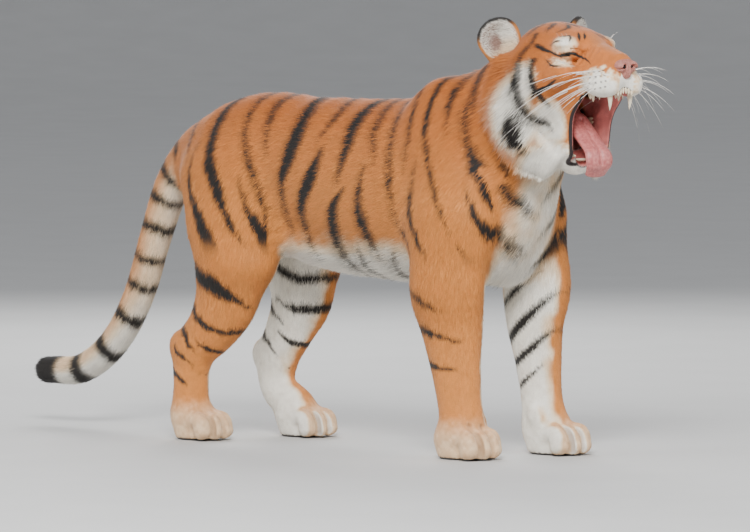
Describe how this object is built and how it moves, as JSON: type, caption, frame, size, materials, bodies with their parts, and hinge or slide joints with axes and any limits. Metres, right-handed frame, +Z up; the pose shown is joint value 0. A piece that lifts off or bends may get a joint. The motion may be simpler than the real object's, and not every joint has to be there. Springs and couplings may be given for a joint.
{
  "type": "bengal tiger",
  "caption": "Life-size Bengal tiger standing on all fours with its head up and mouth wide open in a yawn, eyes shut, tongue out, tail hanging clear of the floor.",
  "frame": {"origin": "on the floor under the middle of the bounding box", "axes": "+X the way the tiger faces, +Y its left side, +Z up"},
  "size_m": [2.1706, 0.4628, 1.1695],
  "materials": {
    "coat": "short orange fur with black stripes, white below",
    "ears": "short black fur with a white spot, pale inside",
    "nose": "moist pink skin",
    "tongue": "moist, finely rough"
  },
  "bodies": {
    "root": {"head": "coat", "lower_jaw": "coat", "neck": "coat", "trunk": "coat", "tail_base": "coat", "tail_middle": "coat", "tail_tip": "coat", "thigh_right": "coat", "thigh_left": "coat", "hindleg_right": "coat", "hindleg_left": "coat", "hindpaw_right": "coat", "hindpaw_left": "coat", "foreleg_right": "coat", "foreleg_left": "coat", "forepaw_right": "coat", "forepaw_left": "coat", "ear_right": "ears", "ear_left": "ears", "eyelid_right": "coat", "eyelid_left": "coat", "nose": "nose", "tongue": "tongue"}
  },
  "joints": []
}
